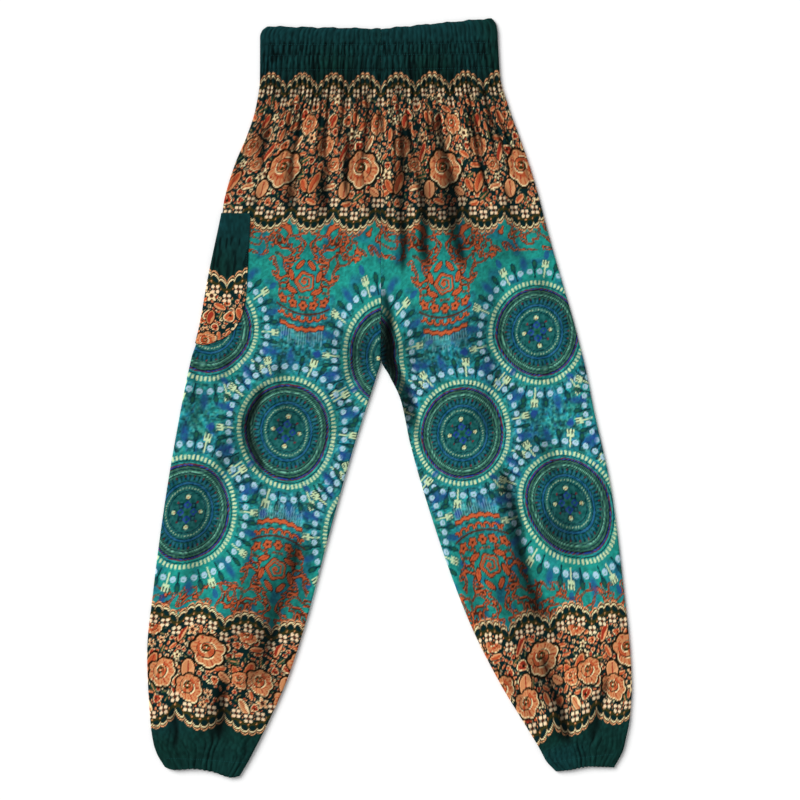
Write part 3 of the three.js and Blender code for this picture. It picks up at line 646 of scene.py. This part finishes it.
def clothMaterial():
    # printed woven viscose: the stored print with slubs, and threads crossing at 0.6 mm as bump
    material = bpy.data.materials.new("printed_cloth")
    material.use_nodes = True
    nodes, links = material.node_tree.nodes, material.node_tree.links

    def add(kind, **sockets):
        node = nodes.new("ShaderNode" + kind)
        for name, value in sockets.items():
            node.inputs[name].default_value = value
        return node

    surface = nodes["Principled BSDF"]
    surface.inputs["Specular IOR Level"].default_value = 0.02
    surface.inputs["Sheen Weight"].default_value = 0.005
    surface.inputs["Sheen Roughness"].default_value = 0.5
    colour = add("Attribute")
    colour.attribute_name = "print"
    place = add("UVMap")
    place.uv_map = "cloth"
    grain = add("TexNoise", Scale=0.9, Detail=3)
    links.new(place.outputs["UV"], grain.inputs["Vector"])
    slub = add("MapRange")
    slub.inputs["To Min"].default_value = 0.84
    slub.inputs["To Max"].default_value = 1.16
    links.new(grain.outputs["Fac"], slub.inputs["Value"])
    shade = add("VectorMath")
    shade.operation = "SCALE"
    links.new(colour.outputs["Color"], shade.inputs[0])
    links.new(slub.outputs["Result"], shade.inputs["Scale"])
    links.new(shade.outputs["Vector"], surface.inputs["Base Color"])
    rough = add("MapRange")
    rough.inputs["To Min"].default_value = 0.74
    rough.inputs["To Max"].default_value = 0.9
    links.new(grain.outputs["Fac"], rough.inputs["Value"])
    links.new(rough.outputs["Result"], surface.inputs["Roughness"])
    height = add("Math")
    height.operation = "MULTIPLY_ADD"
    height.inputs[1].default_value = 0.6
    threads = add("Math")
    threads.operation = "ADD"
    for direction, socket in (("X", 0), ("Y", 1)):
        wave = add("TexWave", Scale=0.52, Distortion=0.6)
        wave.bands_direction = direction
        links.new(place.outputs["UV"], wave.inputs["Vector"])
        links.new(wave.outputs["Fac"], threads.inputs[socket])
    links.new(threads.outputs["Value"], height.inputs[0])
    links.new(grain.outputs["Fac"], height.inputs[2])
    bump = add("Bump", Strength=0.3, Distance=0.0003)
    links.new(height.outputs["Value"], bump.inputs["Height"])
    links.new(bump.outputs["Normal"], surface.inputs["Normal"])
    return material


material = clothMaterial()


def stitchesAlong(name, node, paths, pitch, long, radius):
    # spindles of six sides at even steps along each path: the part of the path from k pitch to k pitch plus long
    turn = np.arange(6) * np.pi / 3
    ring = np.stack([0 * turn, np.cos(turn), np.sin(turn)], axis=-1) * radius
    starts, ends = [], []
    for path in paths:
        run = np.concatenate([[0], np.cumsum(np.linalg.norm(np.diff(path, axis=0), axis=1))])
        at = np.arange(pitch, run[-1] - pitch, pitch)
        starts.append(np.stack([np.interp(at, run, path[:, axis]) for axis in range(3)], axis=-1))
        ends.append(np.stack([np.interp(at + long, run, path[:, axis]) for axis in range(3)], axis=-1))
    start, end = np.concatenate(starts), np.concatenate(ends)
    along = (end - start) / np.linalg.norm(end - start, axis=1, keepdims=True)
    side = np.cross([0, 0, 1], along)
    side /= np.linalg.norm(side, axis=1, keepdims=True)
    up = np.cross(along, side)
    shift = np.array([long * 0.25, 0, 0])
    template = np.concatenate([[[-long / 2, 0, 0]], ring - shift, ring + shift, [[long / 2, 0, 0]]])
    basis = np.stack([along, side, up], axis=1)
    points = (start + end)[:, None, :] / 2 + np.einsum("kc,ncd->nkd", template, basis)
    first, second = 1 + np.arange(6), 1 + (np.arange(6) + 1) % 6
    triangles = np.concatenate([
        np.stack([0 * first, second, first], axis=-1),
        np.stack([first, second, second + 6], axis=-1), np.stack([first, second + 6, first + 6], axis=-1),
        np.stack([first + 6, second + 6, 0 * first + 13], axis=-1)])
    faces = (triangles[None] + 14 * np.arange(len(start))[:, None, None]).reshape(-1, 3)
    mesh = bpy.data.meshes.new(name)
    mesh.from_pydata((points.reshape(-1, 3) * millimetre).tolist(), [], faces.tolist())
    mesh.polygons.foreach_set("use_smooth", np.ones(len(mesh.polygons), bool))
    piece = bpy.data.objects.new(name, mesh)
    bpy.context.collection.objects.link(piece)
    storeColour(piece, np.tile(tint["thread"], (len(points) * 14, 1)), 0)
    piece.data.materials.append(material)
    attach(piece, "root")
    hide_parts(node)
    print(name, len(start), "stitches")
    return piece


def levelPath(leg, v, fromPart, toPart):
    # a line across the outside of a leg at one length, just above the cloth
    parts = np.linspace(fromPart, toPart, 400)
    points, _, _ = clothSurface(leg, np.full(400, float(v)), parts, 0.0)
    return points + np.array([0, 0, 0.1])


def arcSteps(level, count):
    # column places of one face: a quarter turn, the level part and a quarter turn
    arc = np.linspace(0, 1, count)
    return np.concatenate([arc, np.linspace(1, 2, level + 1)[1:-1], 2 + arc])


def legPiece(side, part, counts, insideCounts):
    # one face of a leg, from its seam edge to the side fold or on from the fold to the back seam edge
    leg, node = legs[side], "leg_" + side
    isFront = part == "front"
    outParts, inParts = arcSteps(counts[0], 6), arcSteps(insideCounts[0], 6)
    outParts, inParts = (outParts[::-1], inParts[::-1]) if isFront else (-outParts, -inParts)
    outV = np.linspace(sectionTop, cloth["hem"], counts[1])
    inV = np.linspace(sectionTop, cloth["hem"], insideCounts[1])
    outside, relief, across = clothSurface(leg, outV[:, None], outParts[None, :], 0.0)
    inside, _, _ = clothSurface(leg, inV[:, None], inParts[None, :], cloth["wall"])
    piece = shellMesh(node + "." + part, outside, inside, (outV, -outParts), (inV, -inParts), side == "left")
    gridV, gridPart = np.broadcast_arrays(outV[:, None], outParts[None, :])
    u, length = printPlace(leg, gridV, gridPart, across)
    colour = sampledPrint(u, length, lambda a, b: printColour(a, b, leg["roses"]))
    if isFront:
        # painted shade: the print darkens near the seam edge around the crotch, where the cloth turns under
        nearSeam = 1 - smooth(((1 - across) * 175 - 9) / 6)
        seamFoldShade = leg["seamFoldShade"] * nearSeam * smooth((gridV - 280) / 40) * smooth((480 - gridV) / 60)
        # painted shade in the gathers below the waist, strongest under the lace at the top of the first border
        gatherShade = 0.07 * smooth((gridV + 12) / 20) * smooth((310 - gridV) / 130)
        gatherShade = gatherShade + 0.13 * smooth((gridV + 16) / 12) * smooth((60 - gridV) / 50)
        colour = colour * (shading(relief) * (1 - seamFoldShade) * (1 - gatherShade))[..., None]
    storeColour(piece, colour, inside.shape[0] * inside.shape[1])
    storeUv(piece, u, gridV, inside.shape[0] * inside.shape[1])
    piece.data.materials.append(material)
    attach(piece, "root")
    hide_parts(node)
    sewn = []
    if isFront:
        rows = [levelPath(leg, row, 2.95, 1.05) for row in (*cloth["elastic"], cloth["ankleElastic"] + 5)]
        sewn = [stitchesAlong(node + ".stitches", node, rows, 3.2, 2.3, 0.22)]
    print(node, part, len(piece.data.polygons), "faces")
    return piece


def shading(relief):
    # the print darkens in the troughs and lightens a little on the ridges
    return 1 + 0.08 * np.clip(relief / 1.7, 0, 1) + 0.64 * np.clip(relief / 1.5, -1, 0)


# v, width on the front of the leg, width on its back
pocketShape = np.array([
    (179, 37, 93), (202, 41, 89), (225, 44, 86), (255, 48, 82), (285, 51.5, 78.5), (305, 53, 77),
    (325, 51.5, 74.5), (342, 47, 67), (356, 39, 56), (367, 28, 42), (374, 17, 27), (377, 9, 16)])


def pocketSurface(v, key, depth):
    # key is 2 at the front edge, 0 at the side fold and -2 at the back edge; each row ends at its own width
    leg = legs["right"]
    sections = leg["sections"]
    innerX = curve(sections, 3, v) + leg["side"] * cloth["gap"] / 2
    width = np.hypot(innerX - curve(sections, 1, v), curve(sections, 4, v) - curve(sections, 2, v))
    width = width - pocketLift(leg, v, 0 * v)
    radius, beyond = cloth["round"], np.clip(np.abs(key) - 1, 0, 1)
    reach = np.where(key > 0, curve(pocketShape, 1, v), curve(pocketShape, 2, v))
    part = np.sign(key) * (np.minimum(np.abs(key), 1) + beyond * (reach - radius) / (width - 2 * radius))
    return clothSurface(leg, v, part, depth)


def pocketPiece():
    # the patch wraps the side fold: a shell from 0.3 mm to 1.5 mm outside the leg
    leg = legs["right"]

    def steps(level):
        flat, arc = np.linspace(2, 1, level + 1), np.linspace(1, -1, 11)
        return np.concatenate([flat[:-1], arc, -flat[::-1][1:]])

    outV, inV = (np.linspace(pocket["top"], pocket["bottom"], rows) for rows in (120, 40))
    outKeys, inKeys = steps(60), steps(16)
    outside, relief, _ = pocketSurface(outV[:, None], outKeys[None, :], -pocket["gap"] - pocket["wall"])
    inside, _, _ = pocketSurface(inV[:, None], inKeys[None, :], -pocket["gap"])
    piece = shellMesh("pocket_right.patch", outside, inside, (outV, -outKeys), (inV, -inKeys), False)
    fold = curve(leg["sections"], 1, outV)[:, None]
    away = np.abs(outside[..., 0] - fold) * np.where(outKeys > 0, 1, -1)
    u, length = fold + away + 245, 163.6 - outside[..., 1]
    colour = sampledPrint(u, length, lambda a, b: printColour(a, b, leg["roses"]))
    colour = colour * shading(relief)[..., None]
    storeColour(piece, colour, inside.shape[0] * inside.shape[1])
    storeUv(piece, u, length, inside.shape[0] * inside.shape[1])
    piece.data.materials.append(material)
    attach(piece, "root")
    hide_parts("pocket_right")
    v = np.linspace(pocket["top"] + 1, 372, 300)
    keys = 2 - 2.5 / curve(pocketShape, 1, v)
    edge, _, _ = pocketSurface(v, keys, -pocket["gap"] - pocket["wall"])
    sewn = stitchesAlong("pocket_right.stitches", "pocket_right", [edge + np.array([0, 0, 0.1])], 3.2, 2.3, 0.22)


sectionTop = -68.0
for side in ("right", "left"):
    legPiece(side, "back", (110, 400), (16, 60))
    legPiece(side, "front", (149, 590), (16, 60))
pocketPiece()

# Floor, light and camera

bpy.ops.mesh.primitive_plane_add(size=8, location=(0, 0, -0.0005))
floor = bpy.context.object
floor.name = "floor"
floorMaterial = bpy.data.materials.new("paper_white")
floorMaterial.use_nodes = True
floorMaterial.node_tree.nodes["Principled BSDF"].inputs["Base Color"].default_value = (0.96, 0.96, 0.96, 1)
floorMaterial.node_tree.nodes["Principled BSDF"].inputs["Roughness"].default_value = 0.9
floor.data.materials.append(floorMaterial)

sunData = bpy.data.lights.new("key", "SUN")
sunData.energy, sunData.angle = 3.0, np.radians(40)
sun = bpy.data.objects.new("key", sunData)
sun.rotation_euler = mathutils.Vector((0.9, -0.65, -0.95)).to_track_quat("-Z", "Y").to_euler()
bpy.context.collection.objects.link(sun)
world = bpy.data.worlds.new("studio")
world.use_nodes = True
world.node_tree.nodes["Background"].inputs["Color"].default_value = (1, 1, 1, 1)
world.node_tree.nodes["Background"].inputs["Strength"].default_value = 0.47
bpy.context.scene.world = world
bpy.context.scene.view_settings.view_transform = "Standard"

view = {"place": (0.0139, -0.0026), "distance": 4.0, "width": 1.056}
cameraData = bpy.data.cameras.new("camera")
cameraData.lens = 36 * (view["distance"] - 0.005) / view["width"]
camera = bpy.data.objects.new("camera", cameraData)
camera.location = (*view["place"], view["distance"])
bpy.context.collection.objects.link(camera)
bpy.context.scene.camera = camera
